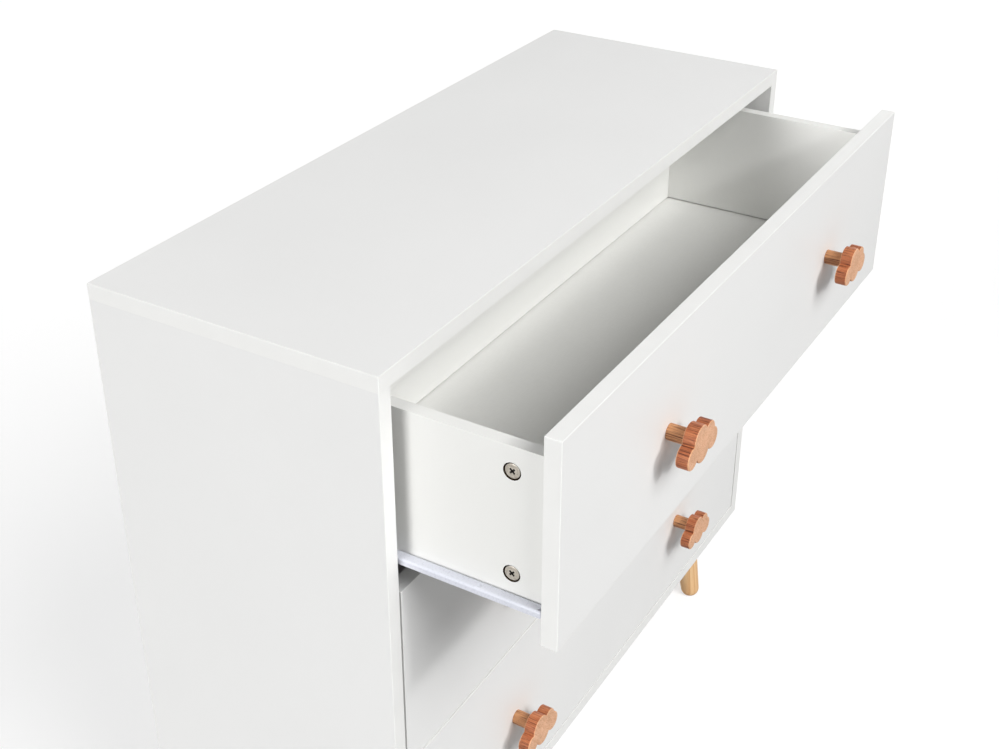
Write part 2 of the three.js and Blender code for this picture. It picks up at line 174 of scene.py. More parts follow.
LEDGE_SCREW_IN = 0.006

# ---- colours, as they look in even white light ----


def srgb(*colour):
    """A colour given as it shows on a screen, 0 to 255, as the linear value a shader takes."""
    return tuple(
        ((c / 255 + 0.055) / 1.055) ** 2.4 if c > 10 else c / 255 / 12.92 for c in colour
    )


BOARD_WHITE = srgb(232, 232, 231)
BAND_WHITE = srgb(236, 236, 234)
FOIL_WHITE = srgb(234, 234, 231)
HARDBOARD_WHITE = srgb(228, 228, 225)
STUDIO_FLOOR_TONE = 0.42
STUDIO_FLOOR_LIFT = 0.62

# ---- materials ----


class Recipe:
    """A material in the making: it adds nodes and joins them to its Principled shader."""

    def __init__(self, name):
        self.material = bpy.data.materials.new(name)
        self.material.use_nodes = True
        self.tree = self.material.node_tree
        self.shader = self.tree.nodes["Principled BSDF"]

    def feed(self, socket, value):
        """Joins another node's output to a socket, or sets its value."""
        if isinstance(value, bpy.types.NodeSocket):
            self.tree.links.new(value, socket)
        elif socket.type == "RGBA":
            socket.default_value = (*value[:3], 1)
        else:
            socket.default_value = value

    def node(self, kind, inputs, output=0, **settings):
        """Adds a node and gives back one of its outputs."""
        made = self.tree.nodes.new("ShaderNode" + kind)
        for key, value in settings.items():
            setattr(made, key, value)
        for key, value in inputs.items():
            self.feed(made.inputs[key], value)
        return made.outputs[output]

    def surface(self, inputs):
        """Feeds the Principled shader, which ends the recipe."""
        for key, value in inputs.items():
            self.feed(self.shader.inputs[key], value)
        return self.material

    def place(self, scale=(1, 1, 1), attribute=None):
        """The point being shaded, in the piece's own metres or from a stored attribute."""
        if attribute:
            point = self.node("Attribute", {}, "Vector", attribute_name=attribute)
        else:
            point = self.node("TexCoord", {}, "Object")
        return self.node("Mapping", {"Vector": point, "Scale": scale})

    def noise(self, point, scale=1.0, detail=2.0, rough=0.5, warp=0.0):
        inputs = {"Vector": point, "Scale": scale, "Detail": detail, "Roughness": rough}
        return self.node("TexNoise", {**inputs, "Distortion": warp})

    def math(self, operation, a, b=0.0):
        return self.node("Math", {0: a, 1: b}, operation=operation)

    def fit(self, value, low=0.3, high=0.7, out_low=0.0, out_high=1.0):
        """Maps low..high to out_low..out_high, clamped."""
        ends = {"From Min": low, "From Max": high, "To Min": out_low, "To Max": out_high}
        return self.node("MapRange", {"Value": value, **ends})

    def blend(self, factor, a, b, mode="MIX"):
        """Mixes two colours, by the Mix node's colour sockets."""
        inputs = {0: factor, 6: a, 7: b}
        return self.node("Mix", inputs, 2, data_type="RGBA", blend_type=mode)

    def bump(self, height, distance, strength=1.0):
        """A shading normal from a height, with its depth in metres."""
        return self.node("Bump", {"Height": height, "Distance": distance, "Strength": strength})


def shade(colour, factor):
    return tuple(c * factor for c in colour)


def board_skin(name, colour, roughness, pebble=1300, relief=0.00002):
    """Melamine or foil: a faint drift of tone, fine pebbling and a satin sheen."""
    r = Recipe(name)
    point = r.place()
    drift = r.noise(point, 3.0, detail=3)
    smudge = r.noise(point, 14.0, detail=4, rough=0.6)
    pebbles = r.noise(point, pebble, detail=1.5)
    tone = r.blend(r.fit(drift), shade(colour, 0.985), shade(colour, 1.008))
    fine = r.blend(r.fit(pebbles, 0.35, 0.65), shade((1, 1, 1), 0.985), (1, 1, 1))
    return r.surface({
        "Base Color": r.blend(1.0, tone, fine, "MULTIPLY"),
        "Roughness": r.fit(smudge, 0.3, 0.7, roughness - 0.04, roughness + 0.06),
        "Specular IOR Level": 0.42,
        "Normal": r.bump(pebbles, relief, 0.5),
    })


def edge_band():
    """The 1 mm plastic strip on a board's cut edge: smoother than the face, faintly drawn out."""
    r = Recipe("edge_band")
    drawn = r.noise(r.place(scale=(40, 40, 40)), 1.0, detail=3)
    pull = r.noise(r.place(scale=(900, 900, 900)), 1.0, detail=2)
    return r.surface({
        "Base Color": r.blend(r.fit(drawn), shade(BAND_WHITE, 0.985), BAND_WHITE),
        "Roughness": r.fit(drawn, 0.3, 0.7, 0.32, 0.42),
        "Specular IOR Level": 0.45,
        "Normal": r.bump(pull, 0.00001, 0.4),
    })


def band_joint():
    """The hairline of glue between the band and the face."""
    r = Recipe("band_joint")
    patchy = r.noise(r.place(), 160, detail=2)
    return r.surface({
        "Base Color": r.blend(r.fit(patchy), srgb(212, 211, 207), srgb(226, 225, 222)),
        "Roughness": 0.6,
    })


def chipboard(name, level):
    """The raw core of a board, where it is cut, or darkened inside the bores as painted shade."""
    r = Recipe(name)
    point = r.place()
    cells = r.place(scale=(420, 420, 900))
    chips = r.node("TexVoronoi", {"Vector": cells, "Scale": 1.0}, "Color")
    tone = r.node("SeparateColor", {"Color": chips}, 0)
    dust = r.noise(point, 1500, detail=3, rough=0.7)
    wood = r.blend(tone, shade(srgb(142, 98, 62), level), shade(srgb(206, 168, 120), level))
    dark = r.blend(r.fit(dust, 0.35, 0.6), (0.55, 0.5, 0.45), (1, 1, 1))
    return r.surface({
        "Base Color": r.blend(1.0, wood, dark, "MULTIPLY"),
        "Roughness": 0.85,
        "Specular IOR Level": 0.2,
        "Normal": r.bump(r.math("ADD", tone, dust), 0.00025, 0.7),
    })


def hardboard():
    """Thin fibreboard with a white printed face and a faint linen grain."""
    r = Recipe("white_hardboard")
    point = r.place()
    across = r.noise(r.place(scale=(1500, 90, 90)), 1.0, detail=1)
    along = r.noise(r.place(scale=(90, 1500, 1500)), 1.0, detail=1)
    drift = r.noise(point, 5.0, detail=4)
    weave = r.math("ADD", across, along)
    tone = r.blend(r.fit(drift), shade(HARDBOARD_WHITE, 0.975), HARDBOARD_WHITE)
    thread = r.blend(r.fit(weave, 0.8, 1.2), (0.975, 0.975, 0.972), (1, 1, 1))
    return r.surface({
        "Base Color": r.blend(1.0, tone, thread, "MULTIPLY"),
        "Roughness": r.fit(drift, 0.3, 0.7, 0.5, 0.62),
        "Specular IOR Level": 0.35,
        "Normal": r.bump(weave, 0.00003, 0.5),
    })


def fibre_edge():
    """The brown cut edge of the thin fibreboard."""
    r = Recipe("fibre_edge")
    fibres = r.noise(r.place(scale=(1200, 1200, 3000)), 1.0, detail=3, rough=0.65)
    return r.surface({
        "Base Color": r.blend(r.fit(fibres), srgb(120, 84, 54), srgb(172, 130, 88)),
        "Roughness": 0.85,
        "Normal": r.bump(fibres, 0.0001, 0.6),
    })


def knob_wood(name, pale, mid, dark, contrast, relief, rings=(1400, 40, 420)):
    """Oiled hardwood. Its fibres run through the knob from front to back, in leaning layers."""
    r = Recipe(name)
    broad = r.noise(r.place(scale=(330, 22, 120), attribute="grain"), 1.0, 3.0, 0.55, 0.4)
    lines = r.noise(r.place(scale=rings, attribute="grain"), 1.0, 2.5, 0.6, 0.25)
    pores = r.noise(r.place(scale=(3200, 240, 2600), attribute="grain"), 1.0, 2.0, 0.6)
    patch = r.noise(r.place(scale=(60, 30, 60), attribute="grain"), 1.0, 2.0)
    base = r.blend(r.fit(broad, 0.36, 0.64), pale, mid)
    streaks = r.math("MULTIPLY", r.fit(lines, 0.5, 0.66), contrast)
    lined = r.blend(streaks, base, dark)
    spotted = r.blend(r.math("MULTIPLY", r.fit(pores, 0.56, 0.75), contrast * 0.7), lined, dark)
    cloudy = r.blend(r.fit(patch), (0.9, 0.87, 0.84), (1.06, 1.05, 1.04))
    height = r.math("ADD", r.math("MULTIPLY", lines, 0.6), pores)
    return r.surface({
        "Base Color": r.blend(1.0, spotted, cloudy, "MULTIPLY"),
        "Roughness": r.fit(lines, 0.35, 0.65, 0.42, 0.58),
        "Specular IOR Level": 0.4,
        "Normal": r.bump(r.math("MULTIPLY", height, -1.0), relief, 0.6),
    })


def leg_wood():
    """Lacquered pine: soft yellow early wood between narrow amber lines that run down the leg."""
    r = Recipe("lacquered_pine")
    sway = r.noise(r.place(scale=(18, 18, 7), attribute="grain"), 1.0, 2.0)
    along = r.place(scale=(1, 0.35, 0.03), attribute="grain")
    inputs = {"Vector": along, "Scale": 58.0, "Distortion": 1.1, "Detail": 2.0, "Detail Scale": 0.5}
    kind = {"wave_type": "BANDS", "bands_direction": "X", "wave_profile": "SAW"}
    bands = r.node("TexWave", inputs, 1, **kind)
    fibres = r.noise(r.place(scale=(1500, 1500, 30), attribute="grain"), 1.0, 3.0, 0.6)
    early = r.blend(r.fit(sway), srgb(246, 212, 164), srgb(236, 192, 140))
    late = r.math("POWER", bands, 2.6)
    ringed = r.blend(r.math("MULTIPLY", late, 0.8), early, srgb(208, 150, 94))
    hair = r.blend(r.fit(fibres), (0.92, 0.90, 0.87), (1.04, 1.03, 1.02))
    return r.surface({
        "Base Color": r.blend(1.0, ringed, hair, "MULTIPLY"),
        "Roughness": r.fit(fibres, 0.3, 0.7, 0.36, 0.48),
        "Coat Weight": 0.25,
        "Coat Roughness": 0.2,
        "Normal": r.bump(fibres, 0.00003, 0.5),
    })


def coated_steel():
    """Cold white epoxy powder on folded steel: orange peel and faint rub marks along the run."""
    r = Recipe("coated_steel")
    peel = r.noise(r.place(), 620, detail=2)
    rub = r.noise(r.place(scale=(2400, 18, 2400)), 1.0, detail=2)
    drift = r.noise(r.place(), 22, detail=3)
    tone = r.blend(r.fit(drift), srgb(208, 211, 221), srgb(216, 218, 227))
    rubbed = r.blend(r.fit(rub, 0.62, 0.8, 0, 0.35), tone, srgb(190, 193, 203))
    return r.surface({
        "Base Color": rubbed,
        "Roughness": r.fit(peel, 0.3, 0.7, 0.24, 0.36),
        "Specular IOR Level": 0.55,
        "Coat Weight": 0.2,
        "Coat Roughness": 0.12,
        "Normal": r.bump(peel, 0.00005, 0.4),
    })


def plain_metal(name, colour, roughness, grain=700):
    """Plated metal with a faint cloudy finish."""
    r = Recipe(name)
    cloud = r.noise(r.place(), 90, detail=3)
    grit = r.noise(r.place(), grain, detail=2)
    return r.surface({
        "Base Color": r.blend(r.fit(cloud), shade(colour, 0.88), colour),
        "Metallic": 1.0,
        "Roughness": r.fit(grit, 0.3, 0.7, roughness - 0.06, roughness + 0.08),
        "Normal": r.bump(grit, 0.00002, 0.4),
    })


def turned_metal():
    """The cam's nickel face, with the fine rings of its casting mould."""
    r = Recipe("cam_nickel")
    flat = r.node("VectorMath", {0: r.place(), 1: (1, 1, 0)}, operation="MULTIPLY")
    radius = r.node("VectorMath", {0: flat}, "Value", operation="LENGTH")
    rings = r.math("SINE", r.math("MULTIPLY", radius, 16000))
    cloud = r.noise(r.place(), 420, detail=3)
    tone = r.blend(r.fit(cloud), srgb(214, 205, 190), srgb(240, 233, 221))
    ringed = r.blend(r.fit(rings, -1, 1, 0, 0.12), tone, srgb(150, 142, 130))
    height = r.math("ADD", rings, cloud)
    return r.surface({
        "Base Color": ringed,
        "Metallic": 0.85,
        "Roughness": r.fit(cloud, 0.3, 0.7, 0.34, 0.46),
        "Normal": r.bump(height, 0.00001, 0.5),
    })


def recess_painted_shade():
    """The inside of a driver recess, painted dark as shade."""
    r = Recipe("recess_painted_shade")
    # a mottle in the painted shade's darkness
    shade_mottle = r.noise(r.place(), 1500, detail=3)
    return r.surface({
        "Base Color": r.blend(shade_mottle, srgb(22, 20, 19), srgb(52, 48, 45)),
        "Metallic": 0.4,
        "Roughness": 0.7,
    })


def nylon():
    r = Recipe("nylon")
    flow = r.noise(r.place(), 260, detail=3)
    return r.surface({
        "Base Color": r.blend(r.fit(flow), srgb(236, 236, 230), srgb(247, 247, 243)),
        "Roughness": r.fit(flow, 0.3, 0.7, 0.38, 0.5),
        "Subsurface Weight": 0.1,
        "Subsurface Radius": (0.002, 0.002, 0.002),
        "Normal": r.bump(flow, 0.00002, 0.4),
    })


def studio_floor():
    """A pale matt floor, lifted for the eye so that it meets the white behind it."""
    r = Recipe("studio_floor")
    seen = r.node("LightPath", {}, "Is Camera Ray")
    return r.surface({
        "Base Color": (STUDIO_FLOOR_TONE,) * 3,
        "Roughness": 0.9,
        "Specular IOR Level": 0.1,
        "Emission Color": (1, 1, 1),
        "Emission Strength": r.math("MULTIPLY", seen, STUDIO_FLOOR_LIFT),
    })


MELAMINE = board_skin("white_melamine", BOARD_WHITE, 0.46)
FOIL = board_skin("white_foil", FOIL_WHITE, 0.5, pebble=1700, relief=0.000015)
BAND = edge_band()
JOINT = band_joint()
CHIPS = chipboard("chipboard", 1.0)
# the bore's chipboard at 0.16 of its tone: painted shade for the dark gap round each cam
BORE_SHADE_CHIPS = chipboard("bore_chipboard_painted_shade", 0.16)
HARDBOARD = hardboard()
FIBRE_EDGE = fibre_edge()
# One oiled wood in three tones: the face as it is, the rim a darker painted-shade copy and the
# rounded edge a lighter painted-highlight copy.
KNOB_FACE = knob_wood(
    "oiled_beech_face", srgb(228, 182, 148), srgb(219, 169, 133), srgb(172, 110, 74), 0.5, 0.00006
)
KNOB_RIM_SHADE = knob_wood(
    "oiled_beech_rim_painted_shade", srgb(198, 124, 82), srgb(172, 95, 58), srgb(84, 38, 22), 1.0, 0.00008
)
KNOB_EDGE_HIGHLIGHT = knob_wood(
    "oiled_beech_edge_painted_highlight", srgb(232, 182, 142), srgb(220, 164, 122), srgb(186, 118, 78), 0.35, 0.00003
)
KNOB_STEM_WOOD = knob_wood(
    "oiled_beech_stem", srgb(212, 157, 112), srgb(190, 133, 89), srgb(98, 54, 32), 0.9, 0.00006,
    rings=(900, 26, 900),
)
PINE = leg_wood()
POWDER_COAT = coated_steel()
ZINC = plain_metal("zinc_plate", srgb(196, 199, 202), 0.36)
SCREW_STEEL = plain_metal("screw_steel", srgb(205, 204, 200), 0.3, grain=1400)
NICKEL = turned_metal()
# painted shade inside the driver crosses of cams and screws
RECESS = recess_painted_shade()
NYLON = nylon()

# ---- mesh work ----


def to_mesh(bm, name):
    mesh = bpy.data.meshes.new(name)
    bm.to_mesh(mesh)
    bm.free()
    return mesh


def add_object(name, data):
    made = bpy.data.objects.new(name, data)
    bpy.context.scene.collection.objects.link(made)
    return made


def add_piece(name, mesh, body, materials, replaces=(), matrix=None):
    """Adds a shown piece that rides on a body, with its finish and the nodes it stands for."""
    piece = add_object(name, mesh)
    if not mesh.materials:
        for material in materials:
            mesh.materials.append(material)
    mesh.shade_smooth()
    mesh.set_sharp_from_angle(angle=SMOOTH_ANGLE)
    even = piece.modifiers.new("even_normals", "WEIGHTED_NORMAL")
    even.keep_sharp = True
    if matrix is not None:
        piece.matrix_world = matrix
    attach(piece, body)
    if replaces:
        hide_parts(*replaces)


def add_for_node(node, suffix, bm, body, materials):
    """Adds the piece that stands for one CAD node and is named after it."""
    name = node + suffix
    add_piece(name, to_mesh(bm, name), body, materials, (node,))


def bare_copy(node):
    """A CAD node's shape with its shared corners welded and its flat faces whole."""
    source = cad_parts[node].data
    plain = bpy.data.meshes.new("plain")
    faces = [tuple(p.vertices) for p in source.polygons]
    plain.from_pydata([tuple(v.co) for v in source.vertices], [], faces)
    bm = bmesh.new()
    bm.from_mesh(plain)
    bpy.data.meshes.remove(plain)
    bmesh.ops.remove_doubles(bm, verts=bm.verts, dist=WELD)
    bmesh.ops.dissolve_limit(bm, angle_limit=FLAT_ANGLE, verts=bm.verts, edges=bm.edges)
    return bm


def bevel(bm, edges, radius, segments):
    rounding = {"offset": radius, "segments": segments, "profile": 0.5, "affect": "EDGES"}
    bmesh.ops.bevel(bm, geom=edges, clamp_overlap=True, **rounding)


def ease(bm, radius, segments=3, closed=()):
    """Rounds every sharp outer edge, but for those that lie on a closed joint's plane."""

    def joined(edge):
        return any(
            all(abs(v.co[axis] - at) < ON_PLANE for v in edge.verts) for axis, at in closed
        )

    sharp = [
        e for e in bm.edges
        if e.is_manifold and e.is_convex and e.calc_face_angle() > SHARP_ANGLE and not joined(e)
    ]
    bevel(bm, sharp, radius, segments)


def reach(bm, axis, at, by):
    """Moves a flat side outward, so that its joint closes to a hairline."""
    for vertex in bm.verts:
        if abs(vertex.co[axis] - at) < ON_PLANE:
            vertex.co[axis] += by


def slice_at(bm, axis, at):
    """Cuts a line round the mesh where a plane across an axis meets it."""
    normal = Vector((0, 0, 0))
    normal[axis] = 1
    geometry = bm.verts[:] + bm.edges[:] + bm.faces[:]
    bmesh.ops.bisect_plane(bm, geom=geometry, plane_co=normal * at, plane_no=normal, dist=1e-7)


def banded(bm, box, sides):
    """Marks the strip along each banded side: the band is material 1 and its glue line 2."""
    places = [(axis, box[end][axis], 1 - 2 * end) for axis, end in sides]
    for axis, at, inward in places:
        slice_at(bm, axis, at + inward * BAND_THICK)
        slice_at(bm, axis, at + inward * (BAND_THICK + BAND_JOINT))
    for face in bm.faces:
        centre = face.calc_center_median()
        depth = min(abs(centre[axis] - at) for axis, at, _ in places)
        if depth < BAND_THICK:
            face.material_index = 1
        elif depth < BAND_THICK + BAND_JOINT:
            face.material_index = 2


def raw_side(bm, axis, at, index):
    """Gives the flat faces on one side of a board the material of its cut core."""
    for face in bm.faces:
        flat = abs(face.normal[axis]) > 0.9
        if flat and abs(face.calc_center_median()[axis] - at) < ON_PLANE:
            face.material_index = index


def lathe(profile, steps):
    """The (radius, height) points turned about Z, as a closed mesh."""
    bm = bmesh.new()
    rings = []
    for radius, height in profile:
        count = 1 if radius < WELD else steps
        turns = [math.tau * i / count for i in range(count)]
        rings.append([
            bm.verts.new((radius * math.cos(a), radius * math.sin(a), height)) for a in turns
        ])
    if profile[0][0] >= WELD:
        rings.append(rings[0])
    for low, high in zip(rings, rings[1:]):
        for i in range(steps):
            corners = (low[i % len(low)], low[(i + 1) % len(low)])
            corners += (high[(i + 1) % len(high)], high[i % len(high)])
            bm.faces.new(list(dict.fromkeys(corners)))
    bmesh.ops.recalc_face_normals(bm, faces=bm.faces)
    return bm


def arc(centre_x, centre_y, radius, start, end, steps):
    """Points on an arc, from one angle to another in degrees."""
    angles = [math.radians(start + (end - start) * i / steps) for i in range(steps + 1)]
    return [(centre_x + radius * math.cos(a), centre_y + radius * math.sin(a)) for a in angles]


def prism(outline, low, high, taper=1.0):
    """The (x, y) outline raised from z low to z high, its low end scaled by taper."""
    bm = bmesh.new()
    bottom = [bm.verts.new((x * taper, y * taper, low)) for x, y in outline]
    top = [bm.verts.new((x, y, high)) for x, y in outline]
    count = len(outline)
    for i in range(count):
        after = (i + 1) % count
        bm.faces.new((bottom[i], bottom[after], top[after], top[i]))
    bm.faces.new(bottom)
    bm.faces.new(top)
    bmesh.ops.recalc_face_normals(bm, faces=bm.faces)
    return bm


def block(low, high):
    outline = [(low[X], low[Y]), (high[X], low[Y]), (high[X], high[Y]), (low[X], high[Y])]
    return prism(outline, low[Z], high[Z])


def combine(bm, other, operation):
    """One bmesh cut by or joined with another, by an exact boolean."""
    pair = [add_object("part", to_mesh(part, "part")) for part in (bm, other)]
    step = pair[0].modifiers.new("step", "BOOLEAN")
    step.operation = operation
    step.solver = "EXACT"
    step.object = pair[1]
    graph = bpy.context.evaluated_depsgraph_get()
    mesh = bpy.data.meshes.new_from_object(pair[0].evaluated_get(graph))
    result = bmesh.new()
    result.from_mesh(mesh)
    for made in pair:
        bpy.data.objects.remove(made)
    bpy.data.meshes.remove(mesh)
    return result


def turned_to(direction, at):
    """A matrix that carries the local Z axis to a direction, at a place."""
    turn = Vector(direction).to_track_quat("Z", "Y").to_matrix().to_4x4()
    return Matrix.Translation(at) @ turn


def mirrored(bm):
    """The left-hand version of a right-hand part."""
    bmesh.ops.scale(bm, vec=(-1, 1, 1), verts=bm.verts)
    bmesh.ops.reverse_faces(bm, faces=bm.faces)
    return bm


# ---- boards ----

BOARD_SKINS = [MELAMINE, BAND, JOINT, CHIPS]


def add_board(node, body, radius, bands, raw=(), joints=(), skins=None, slot="white_melamine"):
    """One CAD board with eased edges, bands on some sides and its raw core on others."""
    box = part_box(node)
    bm = bare_copy(node)
    closed = []
    for axis, end, by in joints:
        reach(bm, axis, box[end][axis], by)
        closed.append((axis, box[end][axis] + by))
    ease(bm, radius, closed=closed)
    if bands:
        banded(bm, box, bands)
    for axis, end in raw:
        raw_side(bm, axis, box[end][axis], 3)
    add_for_node(node, "_board", bm, body, skins or BOARD_SKINS)


def add_carcase():
    all_round = [(X, 0), (X, 1), (Y, 0), (Y, 1)]
    add_board("top_panel", "carcase", CARCASE_EASE, all_round, joints=[(Z, 0, 0.0)])
    for side in SIDES:
        node = f"side_panel_{side}"
        up = [(Z, 1, JOINT_GAP)]
        add_board(node, "carcase", CARCASE_EASE, [(Y, 0), (Y, 1)], raw=[(Z, 0)], joints=up)
    out = [(X, 0, -JOINT_GAP), (X, 1, JOINT_GAP)]
    add_board("bottom_panel", "carcase", CARCASE_EASE, [(Y, 0)], joints=out)
    skins = [HARDBOARD, FIBRE_EDGE, FIBRE_EDGE, FIBRE_EDGE]
    edges = [(Z, 0), (Z, 1)]
    sheet = {"skins": skins, "slot": "white_hardboard"}
    add_board("back_board", "carcase", SHEET_EASE, [], raw=edges, **sheet)


def drawer_floor(node, body):
    """The floor rests on the lower face of its groove, with a shadow gap above it."""
    low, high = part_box(node)
    bottom = low.z - DRAWER_FLOOR_REST
    bm = block((low.x, low.y, bottom), (high.x, high.y, bottom + DRAWER_FLOOR_THICK))
    ease(bm, SHEET_EASE)
    for side in ((X, 0), (X, 1), (Y, 0), (Y, 1)):
        raw_side(bm, side[0], (low, high)[side[1]][side[0]], 1)
    add_for_node(node, "_sheet", bm, body, [HARDBOARD, FIBRE_EDGE])


def bored_side(node, body, bores):
    """A drawer side, with raw chipboard inside the bores of its fasteners, darkened there as
    painted shade.
    """
    bm = bare_copy(node)
    ease(bm, DRAWER_EASE, 2)
    for face in bm.faces:
        centre = face.calc_center_median()
        for bore in bores:
            away = math.hypot(centre.y - bore.y, centre.z - bore.z)
            # faces inside a bore take the darkened chipboard, which is painted shade
            if away < CAM_BORE_RADIUS + WELD and face.calc_area() < CAM_BORE_FACE:
                face.material_index = 1
    add_for_node(node, "_board", bm, body, [FOIL, BORE_SHADE_CHIPS])


def cam_places(drawer, side):
    """The middle of each fastener's face on the outside of a drawer side, upper one first."""
    low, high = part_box(f"drawer_{drawer}_side_{side}")
    rear_of_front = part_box(f"drawer_{drawer}_front")[1].y
    outer = high.x if side == "right" else low.x
    upper = high.z - CAM_TOP_OFFSET
    depth = rear_of_front + CAM_SETBACK
    return [Vector((outer, depth, z)) for z in (upper, upper - CAM_SPACING)]


def add_drawer_boards():
    all_round = [(X, 0), (X, 1), (Z, 0), (Z, 1)]
    for drawer in DRAWERS:
        body = f"drawer_{drawer}"
        add_board(f"drawer_{drawer}_front", body, FRONT_EASE, all_round)
        add_board(f"drawer_{drawer}_back", body, DRAWER_EASE, [], skins=[FOIL])
        drawer_floor(f"drawer_{drawer}_bottom", body)
        for side in SIDES:
            bored_side(f"drawer_{drawer}_side_{side}", body, cam_places(drawer, side))


# ---- fasteners ----


def cross_outline(reach, half_width):
    """A driver cross with square ends."""
    quarter = [(half_width, reach), (-half_width, reach), (-half_width, half_width)]
    turns = [(1, 0), (0, 1), (-1, 0), (0, -1)]
    return [(x * c - y * s, x * s + y * c) for c, s in turns for x, y in quarter]


def with_cross(bm, face_height, reach, half_width, depth):
    """Sinks a tapered driver cross into the +Z face. Its faces take material 1, the recess's
    painted shade.
    """
    outline = cross_outline(reach, half_width)
    cutter = prism(outline, face_height - depth, face_height + depth, taper=0.5)
    cut = combine(bm, cutter, "DIFFERENCE")
    cut.faces.ensure_lookup_table()
    for face in cut.faces:
        centre = face.calc_center_median()
        floor = abs(centre.z - (face_height - depth)) < depth * 0.5
        if math.hypot(centre.x, centre.y) < reach and (floor or abs(face.normal.z) < 0.9):
            face.material_index = 1
    return cut


def cam_mesh():
    """A cast cam: a stepped rim, a shallow ring, a slight crown and a driver cross."""
    rim = CAM_RADIUS
    profile = [
        (0, -CAM_DEPTH),
        (rim - 0.0006, -CAM_DEPTH),
        (rim - 0.0003, -CAM_DEPTH + 0.0005),
        (rim - 0.0003, -0.0009),
        (rim, -0.0008),
        (rim, -0.0003),
        (rim - 0.00025, -0.00006),
        (rim - 0.0006, 0),
        (0.0052, 0.00002),
        (0.0050, -0.00018),
        (0.0047, -0.0002),
        (0.0045, 0.00002),
        (0.002, CAM_CROWN),
        (0, CAM_CROWN),
    ]
    return to_mesh(with_cross(lathe(profile, CAM_SIDES), CAM_CROWN, **CAM_CROSS), "cam")


def screw_mesh(radius, height, name):
    """A pan head with a driver cross. Its seat is at z = 0."""
    dome = [
        (radius * math.cos(math.radians(a)), height * (0.45 + 0.55 * math.sin(math.radians(a))))
        for a in range(0, 90, 15)
    ]
    profile = [(0, 0), (radius * 0.96, 0), (radius, height * 0.12), *dome, (0, height)]
    head = lathe(profile, SCREW_SIDES)
    return to_mesh(with_cross(head, height, radius * 0.56, radius * 0.13, height * 0.7), name)


def nail_mesh():
    """A small panel pin's head."""
    return to_mesh(lathe(BACK_PIN_PROFILE, BACK_PIN_SIDES), "nail")


def add_cams():
    """Four cams a drawer, two on each side. The photo shows two, which are CAD nodes."""
    mesh = cam_mesh()
    for drawer in DRAWERS:
        for side, sign in SIDES.items():
            for level, at in zip(("upper", "lower"), cam_places(drawer, side)):
                seat = at - Vector((sign * CAM_RECESS, 0, 0))
                node = f"cam_fastener_{drawer}_{side}_{level}"
                stands_for = (node,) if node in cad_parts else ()
                add_piece(
                    f"cam_{drawer}_{side}_{level}", mesh, f"drawer_{drawer}",
                    [NICKEL, RECESS], stands_for,
                    turned_to((sign, 0, 0), seat) @ Matrix.Rotation(CAM_TURN, 4, "Z"),
                )


def add_screw(name, mesh, body, facing, at):
    finish = [SCREW_STEEL, RECESS]
    add_piece(name, mesh, body, finish, (), turned_to(facing, at))


def add_screws():
    """Knob screws inside the drawer fronts, leg plate screws, and pins along the back board."""
    knob_screw = screw_mesh(**KNOB_SCREW, name="knob_screw")
    for drawer in DRAWERS:
        low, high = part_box(f"drawer_{drawer}_front")
        for side, sign in SIDES.items():
            at = (sign * KNOB_SPACING / 2, high.y, (low.z + high.z) / 2)
            name = f"knob_screw_{drawer}_{side}"
            add_screw(name, knob_screw, f"drawer_{drawer}", (0, 1, 0), at)

    plate_screw = screw_mesh(**PLATE_SCREW, name="plate_screw")
    inset = PLATE_SCREW_INSET
    for end in ENDS:
        for side in SIDES:
            low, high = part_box(f"leg_plate_{end}_{side}")
            across = (low.x + inset, high.x - inset)
            corners = [(x, y) for y in (low.y + inset, high.y - inset) for x in across]
            for i, (x, y) in enumerate(corners):
                name = f"plate_screw_{end}_{side}_{i}"
                add_screw(name, plate_screw, "carcase", (0, 0, -1), (x, y, low.z))

    pin = nail_mesh()
    low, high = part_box("back_board")
    for i in range(BACK_PINS):
        x = low.x + (high.x - low.x) * (i + 0.5) / BACK_PINS
        turn = turned_to((0, 1, 0), (x, high.y, low.z + BACK_PIN_UP))
        add_piece(f"back_pin_{i}", pin, "carcase", [SCREW_STEEL], (), turn)


# ---- knobs ----

FORWARD = Matrix.Rotation(math.pi / 2, 3, "X")  # turns +Z to -Y


def outer_crossing(a, b):
    """The crossing of two circles that lies further from the cloud's middle."""
    ax, az, ar = a
    bx, bz, br = b
    dx, dz = bx - ax, bz - az
    apart = math.hypot(dx, dz)
    along = (ar**2 - br**2 + apart**2) / (2 * apart)
    across = math.sqrt(ar**2 - along**2)
    found = [
        (ax + (along * dx - s * across * dz) / apart, az + (along * dz + s * across * dx) / apart)
        for s in (1, -1)
    ]
    return max(found, key=lambda p: math.hypot(*p))


def cloud_outline():
    """The outer arcs of the lobes, clockwise, as (x, z) points."""
    points = []
    count = len(LOBES)
    for i, lobe in enumerate(LOBES):
        x, z, radius = lobe
        start = outer_crossing(LOBES[i - 1], lobe)
        end = outer_crossing(lobe, LOBES[(i + 1) % count])
        begin = math.atan2(start[1] - z, start[0] - x)
        finish = math.atan2(end[1] - z, end[0] - x)
        sweep = (begin - finish) % math.tau
        for k in range(LOBE_STEPS):
            angle = begin - sweep * k / LOBE_STEPS
            points.append((x + radius * math.cos(angle), z + radius * math.sin(angle)))
    return points


def store_grain(mesh, offset, lean=0.0):
    """Keeps each point's place in the timber: across the layers, along the fibres, the rest."""
    grain = mesh.attributes.new("grain", "FLOAT_VECTOR", "POINT")
    turn = Matrix.Rotation(lean, 3, "Y")
    for i, vertex in enumerate(mesh.vertices):
        grain.data[i].vector = turn @ vertex.co + Vector(offset)


